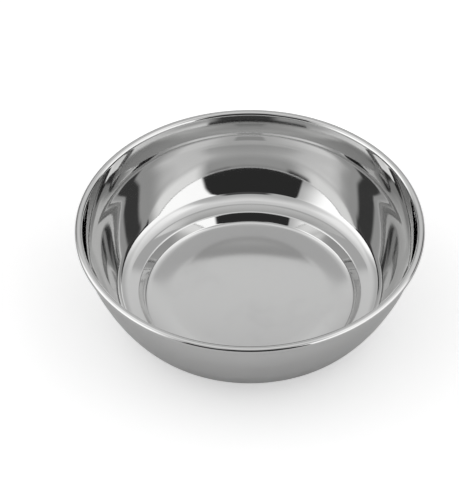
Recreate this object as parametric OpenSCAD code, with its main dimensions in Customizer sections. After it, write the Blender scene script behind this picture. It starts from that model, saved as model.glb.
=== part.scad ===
// Shaving bowl, pressed from one disc of stainless sheet, with its edge rolled round a wire.
// Millimetres, +Z up. The origin is on the axis, at the underside of the foot.

/* [Overall] */
// Outside diameter over the rolled rim
rim_d = 120; // [100:1:150]
// Height from the underside of the foot to the top of the rolled rim
bowl_h = 37.1; // [30:0.1:48]
// Thickness of the sheet
sheet_t = 0.7; // [0.5:0.05:0.9]

/* [Rolled rim] */
// Outside diameter of the roll
bead_d = 2.6; // [2.4:0.1:3.6]
// Angle past the lowest point of the roll at which the sheet's edge ends
curl_past = 20; // [0:1:25]
// Gap all round between the wire and the sheet rolled over it
wire_gap = 0.05; // [0.02:0.01:0.1]

/* [Wall] */
// Lean of the wall from upright where it meets the roll
lip_lean = 1.4; // [0:0.2:10]
// Length of the bend below the lip that turns the wall inwards
shoulder_w = 12.6; // [8:0.1:15]
// How late that bend gathers its turn: 1 is an even bend, more leaves the top straighter
shoulder_ease = 1.14; // [1:0.02:2]
// Length of the straight side below the shoulder
side_w = 2.7; // [0.5:0.1:5]
// How much the belly turns from the side to the bottom corner
belly_turn = 13.6; // [8:0.2:20]
// How late the belly gathers its turn
belly_ease = 1.2; // [1:0.02:2]
// Inside radius of the bottom corner
corner_r = 6.6; // [3:0.1:8]

/* [Floor and foot] */
// Diameter at which the floor turns down into the foot
foot_edge_d = 79; // [65:0.2:82]
// Lean of the floor's outer ledge from upright
ledge_lean = 84; // [80:0.2:90]
// Length of the straight ledge between the bottom corner and the foot
ledge_w = 2.9; // [0.5:0.1:4]
// How far the foot plate is pressed below the ledge
foot_drop = 4.4; // [3.4:0.1:5.4]
// Lean of the foot's riser from upright
riser_lean = 33; // [15:0.5:45]
// Radius left on the underside of the edge between ledge and riser
edge_r = 0.05; // [0.02:0.01:0.5]
// Inside radius between riser and foot plate
foot_fillet_r = 1.9; // [0.5:0.1:2.4]
// Width of the band round the plate that rises towards the riser
plate_band_w = 9; // [3:0.5:12]
// How far that band turns up where it meets the riser's fillet
plate_band_turn = 11.5; // [1:0.5:14]

/* [Hidden] */

roll_steps = 40;
shoulder_steps = 20;
belly_steps = 28;
bend_steps = 10;
plate_steps = 8;
halvings = 30;
$fn = 96;

bead_r = bead_d / 2;
bead_centre = [rim_d / 2 - bead_r, bowl_h - bead_r];
wire_d = bead_d - 2 * sheet_t - 2 * wire_gap;
plate_lean = 90 - plate_band_turn;

// A station on the sheet's inner face is [radius, height, lean from upright].
function run(from, length, lean) =
    [from[0] - length * sin(lean), from[1] - length * cos(lean), lean];

// Lean of the straight line from one station down to another, and its length
function lean_of(a, b) = atan2(a[0] - b[0], a[1] - b[1]);
function gap_of(a, b) = norm([a[0] - b[0], a[1] - b[1]]);

// Station reached by a bend of radius r that starts at a station and turns it to a new lean
function bend_to(from, lean, r) =
    [from[0] - r * (cos(from[2]) - cos(lean)), from[1] - r * (sin(lean) - sin(from[2])), lean];

// Stations along such a bend, without its first. A bend that gets steeper curves the other way.
function bend(from, lean, r) =
    let (side = lean > from[2] ? 1 : -1)
    [for (i = [1 : bend_steps])
        bend_to(from, from[2] + (lean - from[2]) * i / bend_steps, side * r)];

// Stations along a free curve whose lean grows by turn, gathered late for an ease above 1.
// Each step runs at the lean of its own middle.
function ease_lean(from, turn, ease, share) = from[2] + turn * pow(share, ease);
function ease_step(at, from, length, turn, ease, i, steps) =
    let (next = run(at, length / steps, ease_lean(from, turn, ease, (i - 0.5) / steps)))
    [next[0], next[1], ease_lean(from, turn, ease, i / steps)];
function eased(from, length, turn, ease, steps) =
    [for (i = 1, at = ease_step(from, from, length, turn, ease, 1, steps);
          i <= steps;
          i = i + 1, at = ease_step(at, from, length, turn, ease, i, steps)) at];
function end_of(stations) = stations[len(stations) - 1];

// Top of the wall, where it is tangent to the roll
lip = [bead_centre[0] - bead_r * cos(lip_lean), bead_centre[1] + bead_r * sin(lip_lean), lip_lean];

// Back from the foot's edge: up the ledge, and round the bottom corner to a belly of a given lean
ledge_end = [foot_edge_d / 2, sheet_t + foot_drop, ledge_lean];
ledge_start = run(ledge_end, -ledge_w, ledge_lean);
function corner_from(lean) = bend_to(ledge_start, lean, corner_r);

// Down from the lip to a side of a given lean
function shoulder_to(lean) =
    eased(lip, shoulder_w, lean - lip_lean, shoulder_ease, shoulder_steps);
function side_end_at(lean) = run(end_of(shoulder_to(lean)), side_w, lean);

// The belly is drawn at unit length first, and then takes the length that joins side and corner
function unit_belly(lean) = end_of(eased([0, 0, lean], 1, belly_turn, belly_ease, belly_steps));
function miss(lean) =
    lean_of(side_end_at(lean), corner_from(lean + belly_turn)) - lean_of([0, 0], unit_belly(lean));
function halve(low, high, left) =
    let (middle = (low + high) / 2)
    left == 0 ? middle
        : miss(middle) > 0 ? halve(middle, high, left - 1) : halve(low, middle, left - 1);

// The side's lean is the one at which side, belly and corner meet without a kink
side_lean = halve(-20, 70, halvings);
shoulder = shoulder_to(side_lean);
side_end = side_end_at(side_lean);
corner_start = corner_from(side_lean + belly_turn);
belly_w = gap_of(side_end, corner_start) / norm([unit_belly(side_lean)[0], unit_belly(side_lean)[1]]);
belly = eased(side_end, belly_w, belly_turn, belly_ease, belly_steps);
corner = bend(end_of(belly), ledge_lean, corner_r);

edge = bend(ledge_end, riser_lean, edge_r + sheet_t);

// The riser's straight part takes up what the bends and the plate's band leave of the drop
plate_band = eased([0, 0, plate_lean], plate_band_w, plate_band_turn, 1, plate_steps);
fillet_drop = foot_fillet_r * (sin(plate_lean) - sin(riser_lean));
riser_drop = end_of(edge)[1] - sheet_t - fillet_drop + end_of(plate_band)[1];
riser_end = run(end_of(edge), riser_drop / cos(riser_lean), riser_lean);
fillet = bend(riser_end, plate_lean, foot_fillet_r);
band = eased(end_of(fillet), plate_band_w, plate_band_turn, 1, plate_steps);

// The roll: the inner face goes over the top and round, and its lean grows past a full half turn
roll_end_lean = 270 + curl_past;
roll = [for (i = [0 : roll_steps - 1])
    let (lean = roll_end_lean + (lip_lean - roll_end_lean) * i / roll_steps)
    [bead_centre[0] - bead_r * cos(lean), bead_centre[1] + bead_r * sin(lean), lean]];

stations = concat(roll, [lip], shoulder, [side_end], belly, corner, [ledge_end], edge,
    [riser_end], fillet, band);
last = len(stations) - 1;

function inner_point(s) = [s[0], s[1]];
function outer_point(s) = [s[0] + sheet_t * cos(s[2]), s[1] - sheet_t * sin(s[2])];

// Half section of the sheet: its inner face from the rolled edge to the axis, and back outside
module sheet_section() {
    polygon(concat(
        [for (s = stations) inner_point(s)],
        [[0, sheet_t], [0, 0]],
        [for (i = [last : -1 : 0]) outer_point(stations[i])]
    ));
}

module bowl_shell() {
    color("silver")
        rotate_extrude()
            sheet_section();
}

module rim_wire() {
    color("darkgray")
        rotate_extrude()
            translate(bead_centre)
                circle(d = wire_d);
}

bowl_shell();
rim_wire();
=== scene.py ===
# Shaving bowl of polished stainless sheet, with its edge rolled round a wire
import math
import bpy
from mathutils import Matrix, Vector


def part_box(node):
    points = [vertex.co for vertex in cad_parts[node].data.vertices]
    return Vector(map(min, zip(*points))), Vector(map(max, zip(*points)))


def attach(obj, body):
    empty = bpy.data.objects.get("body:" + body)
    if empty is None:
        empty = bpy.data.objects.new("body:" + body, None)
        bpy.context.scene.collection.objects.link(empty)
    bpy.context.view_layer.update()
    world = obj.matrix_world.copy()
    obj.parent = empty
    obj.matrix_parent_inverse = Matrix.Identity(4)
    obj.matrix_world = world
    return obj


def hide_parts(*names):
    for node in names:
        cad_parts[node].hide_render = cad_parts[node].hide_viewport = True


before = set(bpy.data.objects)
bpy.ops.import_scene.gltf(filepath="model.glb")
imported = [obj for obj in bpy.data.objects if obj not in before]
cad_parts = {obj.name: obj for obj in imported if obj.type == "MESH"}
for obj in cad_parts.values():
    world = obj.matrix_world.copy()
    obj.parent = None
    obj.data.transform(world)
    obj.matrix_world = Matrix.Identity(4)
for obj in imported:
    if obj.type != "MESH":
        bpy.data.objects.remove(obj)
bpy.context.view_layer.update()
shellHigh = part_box("bowl_shell")[1]
wireLow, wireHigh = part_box("rim_wire")
rimRadius = shellHigh.x  # over the rolled rim
rimTop = shellHigh.z
print("frame loaded:", ", ".join(sorted(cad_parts)))


# Shader maths: a Wire is one socket, and sums of wires and numbers add their Math nodes

class Wire:
    def __init__(self, tree, socket=None):
        self.tree = tree
        self.socket = socket

    def node(self, kind, settings=None, inputs=None, output=0):
        made = self.tree.nodes.new(kind)
        for setting, value in (settings or {}).items():
            setattr(made, setting, value)
        for name, value in (inputs or {}).items():
            if isinstance(value, Wire):
                self.tree.links.new(value.socket, made.inputs[name])
            else:
                made.inputs[name].default_value = value
        return Wire(self.tree, made.outputs[output])

    def maths(self, operation, *values):
        return self.node("ShaderNodeMath", {"operation": operation}, dict(enumerate(values)))

    def __add__(self, other):
        return self.maths("ADD", self, other)

    def __radd__(self, other):
        return self.maths("ADD", other, self)

    def __sub__(self, other):
        return self.maths("SUBTRACT", self, other)

    def __rsub__(self, other):
        return self.maths("SUBTRACT", other, self)

    def __mul__(self, other):
        return self.maths("MULTIPLY", self, other)

    def __rmul__(self, other):
        return self.maths("MULTIPLY", other, self)

    def __pow__(self, other):
        return self.maths("POWER", self, other)

    def __abs__(self):
        return self.maths("ABSOLUTE", self)

    def ramp(self, start, end, low=0, high=1):
        smooth = {"interpolation_type": "SMOOTHSTEP"}
        return self.node("ShaderNodeMapRange", smooth, {0: self, 1: start, 2: end, 3: low, 4: high})

    def blend(self, other, share):
        return self + (other - self) * share

    def split(self):
        # The three parts of a vector
        first = self.node("ShaderNodeSeparateXYZ", None, {0: self})
        return [Wire(self.tree, socket) for socket in first.socket.node.outputs]

    def noise(self, width, detail, roughness):
        return self.node("ShaderNodeTexNoise", {"noise_dimensions": "3D"},
                         {"Vector": self, "Scale": 1 / width, "Detail": detail, "Roughness": roughness})


def newMaterial(name):
    material = bpy.data.materials.new(name)
    material.use_nodes = True
    shader = material.node_tree.nodes["Principled BSDF"]
    return material, shader, Wire(material.node_tree)


def feed(shader, name, wire):
    wire.tree.links.new(wire.socket, shader.inputs[name])


def ringPlace(place, look):
    # Radius, height and a short way round, so that a pattern of lines runs in rings
    x, y, z = place.split()
    radius = (x * x + y * y) ** 0.5
    wayRound = x.maths("ARCTAN2", y, x) * (look["lineWidth"] * look["linesPerRadian"])
    rings = x.node("ShaderNodeCombineXYZ", None, {0: radius, 1: z, 2: wayRound})
    return rings, radius, z


# Polished stainless steel: turned polishing lines, a mirror wall, a softer foot plate

polishedSteel = {
    "colour": 0.66,          # share of light that the steel gives back
    "blueShare": 0.995,      # what it gives back of blue, beside red and green
    "tone": 0.02,            # how much the colour wanders
    "roughness": 0.035,      # of the mirror wall
    "plateRoughness": 0.1,   # of the foot plate, which the buffing wheel reaches less
    "plateRadius": 0.0372,
    "plateHeight": 0.0018,
    "plateFade": (0.001, 0.0006),  # inwards and upwards, where the one finish turns into the other
    "lineWidth": 0.00022,    # of one polishing line
    "linesPerRadian": 6,
    "lineRoughness": 0.3,    # how much the roughness changes from line to line
    "lineBump": 0.04,
    "lineDepth": 0.00002,
    "bandWidth": 0.003667,   # of the broader bands that the lines gather in
    "bandRoughness": 0.2,
    "smearWidth": 0.02222,   # of the smears that handling leaves
    "smearRoughness": 0.03,
}


def makePolishedSteel(look):
    material, shader, nodes = newMaterial("polishedSteel")
    place = nodes.node("ShaderNodeTexCoord", output="Object")
    rings, radius, height = ringPlace(place, look)
    lines = rings.noise(look["lineWidth"], 3.0, 0.6)
    bands = rings.noise(look["bandWidth"], 2.0, 0.5)
    smears = place.noise(look["smearWidth"], 4.0, 0.6)
    fadeIn, fadeUp = look["plateFade"]
    onPlate = radius.ramp(look["plateRadius"], look["plateRadius"] - fadeIn) \
        * height.ramp(look["plateHeight"] + fadeUp, look["plateHeight"])
    rough = look["roughness"] + (look["plateRoughness"] - look["roughness"]) * onPlate
    rough = rough * (1 + look["lineRoughness"] * (lines - 0.5) + look["bandRoughness"] * (bands - 0.5))
    rough = rough + look["smearRoughness"] * smears.ramp(0.5, 0.75)
    grey = look["colour"] + look["tone"] * (bands - 0.5) - look["tone"] * smears.ramp(0.45, 0.8)
    colour = grey.node("ShaderNodeCombineColor", None, {0: grey, 1: grey, 2: grey * look["blueShare"]})
    bump = lines.node("ShaderNodeBump", None,
                      {"Strength": look["lineBump"], "Distance": look["lineDepth"], "Height": lines})
    shader.inputs["Metallic"].default_value = 1.0
    feed(shader, "Base Color", colour)
    feed(shader, "Roughness", rough)
    feed(shader, "Normal", bump)
    return material


# Drawn steel wire: die lines along it, duller than the sheet

drawnWire = {
    "colour": 0.42,
    "tone": 0.3,             # how much the colour changes from line to line
    "roughness": 0.32,
    "lineWidth": 0.00008,
    "linesPerRadian": 25,
    "lineRoughness": 0.4,
    "lineBump": 0.2,
    "lineDepth": 0.00002,
}


def makeDrawnWire(look):
    material, shader, nodes = newMaterial("drawnWire")
    place = nodes.node("ShaderNodeTexCoord", output="Object")
    rings = ringPlace(place, look)[0]
    lines = rings.noise(look["lineWidth"], 2.0, 0.5)
    grey = look["colour"] * (1 + look["tone"] * (lines - 0.5))
    bump = lines.node("ShaderNodeBump", None,
                      {"Strength": look["lineBump"], "Distance": look["lineDepth"], "Height": lines})
    shader.inputs["Metallic"].default_value = 1.0
    feed(shader, "Base Color", grey.node("ShaderNodeCombineColor", None, {0: grey, 1: grey, 2: grey}))
    feed(shader, "Roughness", look["roughness"] * (1 + look["lineRoughness"] * (lines - 0.5)))
    feed(shader, "Normal", bump)
    return material


steel = makePolishedSteel(polishedSteel)
wireSteel = makeDrawnWire(drawnWire)
print("materials made")


# Modelling helpers

mergeDistance = 0.000002
sharpAngle = 60   # degrees between faces above which an edge is rounded
smoothAngle = 50  # degrees between faces below which shading runs on


def deselectAll():
    if bpy.context.object and bpy.context.object.mode != "OBJECT":
        bpy.ops.object.mode_set(mode="OBJECT")
    bpy.ops.object.select_all(action="DESELECT")


def drawProfile(points, name):
    # A small plane is merged to one vertex, which is then extruded from point to point
    deselectAll()
    first = points[0]
    bpy.ops.mesh.primitive_plane_add(size=0.001, location=(first[0], 0, first[1]))
    piece = bpy.context.object
    piece.name = name
    bpy.ops.object.transform_apply(location=True, rotation=True, scale=True)
    bpy.ops.object.mode_set(mode="EDIT")
    bpy.ops.mesh.select_all(action="SELECT")
    bpy.ops.mesh.merge(type="CENTER")
    for here, there in zip(points, points[1:]):
        step = (there[0] - here[0], 0, there[1] - here[1])
        bpy.ops.mesh.extrude_region_move(TRANSFORM_OT_translate={"value": step})
    return piece


def spinRound(segments, turn):
    bpy.ops.mesh.select_all(action="SELECT")
    bpy.ops.mesh.spin(steps=segments, angle=math.radians(turn), center=(0, 0, 0), axis=(0, 0, 1))
    bpy.ops.mesh.select_all(action="SELECT")
    bpy.ops.mesh.remove_doubles(threshold=mergeDistance)
    bpy.ops.mesh.normals_make_consistent(inside=False)
    bpy.ops.object.mode_set(mode="OBJECT")


def pointUpwards(piece):
    # An open sheet is turned over if the face at its middle looks down
    middle = min(piece.data.polygons, key=lambda face: face.center.xy.length)
    if middle.normal.z < 0:
        bpy.ops.object.mode_set(mode="EDIT")
        bpy.ops.mesh.select_all(action="SELECT")
        bpy.ops.mesh.flip_normals()
        bpy.ops.object.mode_set(mode="OBJECT")


def applyModifier(piece, kind, name, **settings):
    modifier = piece.modifiers.new(name, kind)
    for setting, value in settings.items():
        setattr(modifier, setting, value)
    bpy.ops.object.modifier_apply(modifier=name)


def roundSharpEdges(piece, width):
    applyModifier(piece, "BEVEL", "sharpEdges", width=width, segments=2, limit_method="ANGLE",
                  angle_limit=math.radians(sharpAngle))
    # A rounding that reaches the next ring leaves two vertices in one place
    bpy.ops.object.mode_set(mode="EDIT")
    bpy.ops.mesh.select_all(action="SELECT")
    bpy.ops.mesh.remove_doubles(threshold=mergeDistance)
    bpy.ops.object.mode_set(mode="OBJECT")


def finishPiece(piece, material):
    piece.data.materials.clear()
    piece.data.materials.append(material)
    bpy.ops.object.shade_smooth_by_angle(angle=math.radians(smoothAngle))


# Bowl shell: lengths in metres, leans in degrees from upright

bowlShell = {
    "sheet": 0.0007,
    "rollDiameter": 0.0026,
    "rollRings": 48,
    "curlPast": 20,           # how far past the roll's lowest point the sheet's edge ends
    "lipLean": 1.4,
    "shoulderWidth": 0.0126,  # length of the bend below the lip
    "shoulderEase": 1.14,     # 1 is an even bend, more leaves its top straighter
    "sideWidth": 0.0027,
    "sideLeans": (-20, 70),   # the side's own lean is looked for between these
    "sideHalvings": 30,
    "bellyTurn": 13.6,
    "bellyEase": 1.2,
    "cornerRadius": 0.0066,
    "footEdgeRadius": 0.0395,
    "ledgeLean": 84,
    "ledgeWidth": 0.0029,
    "footDrop": 0.0044,
    "riserLean": 33,
    "edgeRadius": 0.00075,
    "filletRadius": 0.0019,
    "bandWidth": 0.009,       # the rim of the foot plate that turns up towards the riser
    "bandTurn": 11.5,
    "segments": 288,          # round the axis
    "bendStep": 4,            # degrees between rings in a bend
    "shoulderRings": 24,
    "bellyRings": 36,
    "bandRings": 9,
    "plateRings": (0.88, 0.7, 0.5, 0.3, 0.12),  # shares of the flat plate's radius
    "edgeBevel": 0.0001,
}


def sine(lean):
    return math.sin(math.radians(lean))


def cosine(lean):
    return math.cos(math.radians(lean))


def runOn(station, length, lean):
    return (station[0] - length * sine(lean), station[1] - length * cosine(lean), lean)


def bendTo(station, lean, bendRadius):
    radius, height, first = station
    return (radius - bendRadius * (cosine(first) - cosine(lean)),
            height - bendRadius * (sine(lean) - sine(first)), lean)


def bendAlong(station, lean, bendRadius, step):
    first = station[2]
    steps = max(2, math.ceil(abs(lean - first) / step))
    side = 1 if lean > first else -1
    return [bendTo(station, first + (lean - first) * i / steps, side * bendRadius)
            for i in range(1, steps + 1)]


def easeAlong(station, length, turn, ease, rings):
    # A free curve whose lean grows by turn, gathered late for an ease above 1
    first = station[2]
    stations = []
    for i in range(rings):
        station = runOn(station, length / rings, first + turn * ((i + 0.5) / rings) ** ease)
        station = station[:2] + (first + turn * ((i + 1) / rings) ** ease,)
        stations.append(station)
    return stations


def leanOf(upper, lower):
    return math.degrees(math.atan2(upper[0] - lower[0], upper[1] - lower[1]))


def wallStations(sizes, lip, ledgeStart):
    # The side's lean is halved down to the one at which side, belly and corner meet without a kink
    low, high = sizes["sideLeans"]
    for halving in range(sizes["sideHalvings"]):
        lean = (low + high) / 2
        shoulder = easeAlong(lip, sizes["shoulderWidth"], lean - lip[2], sizes["shoulderEase"],
                             sizes["shoulderRings"])
        sideEnd = runOn(shoulder[-1], sizes["sideWidth"], lean)
        cornerStart = bendTo(ledgeStart, lean + sizes["bellyTurn"], sizes["cornerRadius"])
        unit = easeAlong((0, 0, lean), 1, sizes["bellyTurn"], sizes["bellyEase"], sizes["bellyRings"])[-1]
        if leanOf(sideEnd, cornerStart) > leanOf((0, 0), unit):
            low = lean
        else:
            high = lean
    length = math.dist(sideEnd[:2], cornerStart[:2]) / math.hypot(unit[0], unit[1])
    belly = easeAlong(sideEnd, length, sizes["bellyTurn"], sizes["bellyEase"], sizes["bellyRings"])
    return shoulder + [sideEnd] + belly


def rollStations(sizes, centre, rollRadius):
    rollEnd = 270 + sizes["curlPast"]
    roll = []
    for i in range(sizes["rollRings"] + 1):
        lean = rollEnd + (sizes["lipLean"] - rollEnd) * i / sizes["rollRings"]
        roll.append((centre[0] - rollRadius * cosine(lean), centre[1] + rollRadius * sine(lean), lean))
    return roll


def shellStations(sizes):
    # Stations on the inner face, from the sheet's rolled edge to the middle of the foot plate
    rollRadius = sizes["rollDiameter"] / 2
    roll = rollStations(sizes, (rimRadius - rollRadius, rimTop - rollRadius), rollRadius)
    ledgeEnd = (sizes["footEdgeRadius"], sizes["sheet"] + sizes["footDrop"], sizes["ledgeLean"])
    ledgeStart = runOn(ledgeEnd, -sizes["ledgeWidth"], sizes["ledgeLean"])
    wall = wallStations(sizes, roll[-1], ledgeStart)
    corner = bendAlong(wall[-1], sizes["ledgeLean"], sizes["cornerRadius"], sizes["bendStep"])
    edge = bendAlong(ledgeEnd, sizes["riserLean"], sizes["edgeRadius"], sizes["bendStep"])
    bandLean = 90 - sizes["bandTurn"]
    bandDrop = -easeAlong((0, 0, bandLean), sizes["bandWidth"], sizes["bandTurn"], 1,
                          sizes["bandRings"])[-1][1]
    filletDrop = sizes["filletRadius"] * (sine(bandLean) - sine(sizes["riserLean"]))
    riserDrop = edge[-1][1] - sizes["sheet"] - filletDrop - bandDrop
    riserEnd = runOn(edge[-1], riserDrop / cosine(sizes["riserLean"]), sizes["riserLean"])
    fillet = bendAlong(riserEnd, bandLean, sizes["filletRadius"], sizes["bendStep"])
    band = easeAlong(fillet[-1], sizes["bandWidth"], sizes["bandTurn"], 1, sizes["bandRings"])
    plate = [(band[-1][0] * share, sizes["sheet"], 90) for share in sizes["plateRings"] + (0,)]
    return roll + wall + corner + [ledgeEnd] + edge + [riserEnd] + fillet + band + plate


def makeBowlShell(sizes):
    points = [(station[0], station[1]) for station in shellStations(sizes)]
    shell = drawProfile(points, "bowl_shell_polished")
    spinRound(sizes["segments"], 360)
    pointUpwards(shell)
    applyModifier(shell, "SOLIDIFY", "thickness", thickness=sizes["sheet"], offset=-1)
    roundSharpEdges(shell, sizes["edgeBevel"])
    finishPiece(shell, steel)
    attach(shell, "root")
    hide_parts("bowl_shell")
    return shell


shell = makeBowlShell(bowlShell)
print("bowl shell:", len(shell.data.polygons), "faces")


# Rim wire: a ring bent from drawn wire, its two ends butted inside the roll

rimWire = {
    "sides": 20,
    "segments": 240,
    "buttGap": 0.4,      # degrees left open between the two ends
    "endBevel": 0.00012,
}


def makeRimWire(sizes):
    wireRadius = (wireHigh.z - wireLow.z) / 2
    ringRadius = wireHigh.x - wireRadius
    height = (wireHigh.z + wireLow.z) / 2
    deselectAll()
    bpy.ops.mesh.primitive_circle_add(vertices=sizes["sides"], radius=wireRadius, fill_type="NGON",
                                      location=(ringRadius, 0, height), rotation=(math.pi / 2, 0, 0))
    wire = bpy.context.object
    wire.name = "rim_wire_drawn"
    bpy.ops.object.transform_apply(location=True, rotation=True, scale=True)
    bpy.ops.object.mode_set(mode="EDIT")
    spinRound(sizes["segments"], 360 - sizes["buttGap"])  # to just short of where it began
    roundSharpEdges(wire, sizes["endBevel"])
    finishPiece(wire, wireSteel)
    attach(wire, "root")
    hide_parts("rim_wire")
    return wire


wire = makeRimWire(rimWire)
print("rim wire:", len(wire.data.polygons), "faces")


# Floor: a wide pale sheet, washed out by the light where the camera sees it

floorSheet = {
    "radius": 3.0,
    "sides": 96,
    "colour": 0.72,        # as the steel mirrors it
    "washedColour": 0.8,   # as the camera sees it
    "glow": 0.42,
    "roughness": 0.9,
}


def makeFloor(sizes):
    deselectAll()
    bpy.ops.mesh.primitive_circle_add(vertices=sizes["sides"], radius=sizes["radius"], fill_type="NGON",
                                      location=(0, 0, 0))
    floor = bpy.context.object
    floor.name = "floor"
    material, shader, nodes = newMaterial("paleFloor")
    washed = nodes.node("ShaderNodeBsdfPrincipled")
    washedShader = washed.socket.node
    for matt, colour in ((shader, sizes["colour"]), (washedShader, sizes["washedColour"])):
        matt.inputs["Base Color"].default_value = (colour, colour, colour, 1)
        matt.inputs["Roughness"].default_value = sizes["roughness"]
        matt.inputs["Specular IOR Level"].default_value = 0.0
    washedShader.inputs["Emission Color"].default_value = (1, 1, 1, 1)
    washedShader.inputs["Emission Strength"].default_value = sizes["glow"]
    seen = nodes.node("ShaderNodeLightPath", output="Is Camera Ray")
    mirrored = Wire(nodes.tree, shader.outputs[0])
    mixed = nodes.node("ShaderNodeMixShader", None, {0: seen, 1: mirrored, 2: washed})
    feed(material.node_tree.nodes["Material Output"], "Surface", mixed)
    floor.data.materials.append(material)


makeFloor(floorSheet)
print("floor laid")


# Studio: a white tent with a dark opening on the camera's side, and a soft panel on each side of it.
# Angles are degrees: "round" from the camera, above 0 to its right, "aside" from it to either side,
# "up" from the horizon, and "slanted" is round with the slant of the opening's right edge.
# Each patch is laid over what is there. An edge goes from where there is none of it to where it is full.

studio = {
    "above": (60, 170, 0.95, 0.8),    # aside from and to, with the light from above at each
    "lowFar": (4, 20, 0.18, 0.6),     # up from and to, with the low light of the far side at each
    "lowToAbove": (28, 46),           # up, where the one gives way to the other
    "slant": (19, 33, 0, 6),          # up from and to, with how far the right edge moves in at each
    "lowPatches": {
        "panelLeft": {"level": 1.55, "round": ((-132, -110), (-36, -62))},
        "panelRight": {"level": 1.45, "round": ((136, 92),), "slanted": ((32, 36),)},
        "gapLeft": {"level": 0.042, "round": ((-160, -152), (-126, -134)), "up": ((19, 9),)},
        "gapRight": {"level": 0.042, "round": ((102, 110), (138, 130)), "up": ((24, 14),)},
    },
    "panelTops": {                    # these are added to the light from above
        "left": {"level": 0.285, "round": ((-156, -115), (-70, -92)), "up": ((38, 46), (72, 58))},
        "right": {"level": 0.38, "round": ((168, 70), (48, 60)), "up": ((38, 46), (72, 58))},
    },
    "frontLight": (48, 88, 0.58, 0.95),  # up from and to, with the light above the opening at each
    "front": {"aside": ((75, 35),), "up": ((33, 37),)},
    "highPatches": {
        "farStrip": {"level": 0.53, "aside": ((156, 163),), "up": ((46.3, 47.8), (72, 64))},
        "cameraStand": {"level": 0.08, "round": ((-22, -12), (28, 18)), "up": ((33, 35), (49, 44))},
        "opening": {"level": 0.032, "round": ((-39, -37),), "slanted": ((35, 32),), "up": ((35.5, 33.5),)},
    },
}


def softShape(patch, angles):
    # 1 where the patch is full and 0 outside it
    shape = None
    for way, angle in angles.items():
        for edge in patch.get(way, ()):
            soft = angle.ramp(*edge)
            shape = shape * soft if shape else soft
    return shape


def makeStudio(look):
    world = bpy.data.worlds.new("studio")
    bpy.context.scene.world = world
    world.use_nodes = True
    tree = world.node_tree
    x, y, z = Wire(tree).node("ShaderNodeTexCoord").split()  # the way that the light comes from
    inDegrees = 180 / math.pi
    azimuth = x.maths("ARCTAN2", x, 0 - y) * inDegrees
    elevation = x.maths("ARCSINE", z) * inDegrees
    slanted = azimuth + elevation.ramp(*look["slant"])
    angles = {"round": azimuth, "aside": abs(azimuth), "up": elevation, "slanted": slanted}
    low = elevation.ramp(*look["lowFar"])
    for patch in look["lowPatches"].values():
        low = low.blend(patch["level"], softShape(patch, angles))
    high = angles["aside"].ramp(*look["above"])
    for patch in look["panelTops"].values():
        high = high + patch["level"] * softShape(patch, angles)
    light = low.blend(high, elevation.ramp(*look["lowToAbove"]))
    light = light.blend(elevation.ramp(*look["frontLight"]), softShape(look["front"], angles))
    for patch in look["highPatches"].values():
        light = light.blend(patch["level"], softShape(patch, angles))
    background = tree.nodes["Background"]
    feed(background, "Color", light.node("ShaderNodeCombineColor", None, {0: light, 1: light, 2: light}))
    # The camera sees a plain pale backdrop past the floor
    plain = light.node("ShaderNodeBackground", None, {"Color": (1, 1, 1, 1), "Strength": 1.0})
    seen = light.node("ShaderNodeLightPath", output="Is Camera Ray")
    mirrored = Wire(tree, background.outputs[0])
    mixed = light.node("ShaderNodeMixShader", None, {0: seen, 1: mirrored, 2: plain})
    feed(tree.nodes["World Output"], "Surface", mixed)


makeStudio(studio)
bpy.context.scene.view_settings.view_transform = "Standard"
print("studio lit")


# Camera: looks down on the bowl from the front

cameraSet = {
    "distance": 12.0,      # from the rim's centre, in rim radii
    "elevation": 43.65,
    "lens": 151.3,         # millimetres, on a sensor 36 mm wide
    "shift": (-0.0408, -0.0491),
}


def makeCamera(place):
    data = bpy.data.cameras.new("camera")
    camera = bpy.data.objects.new("camera", data)
    bpy.context.scene.collection.objects.link(camera)
    bpy.context.scene.camera = camera
    distance = place["distance"] * rimRadius
    aim = rimTop - bowlShell["rollDiameter"] / 2
    camera.location = (0, -distance * cosine(place["elevation"]), aim + distance * sine(place["elevation"]))
    camera.rotation_euler = (math.radians(90 - place["elevation"]), 0, 0)
    data.lens = place["lens"]
    data.shift_x, data.shift_y = place["shift"]


makeCamera(cameraSet)
print("camera set")
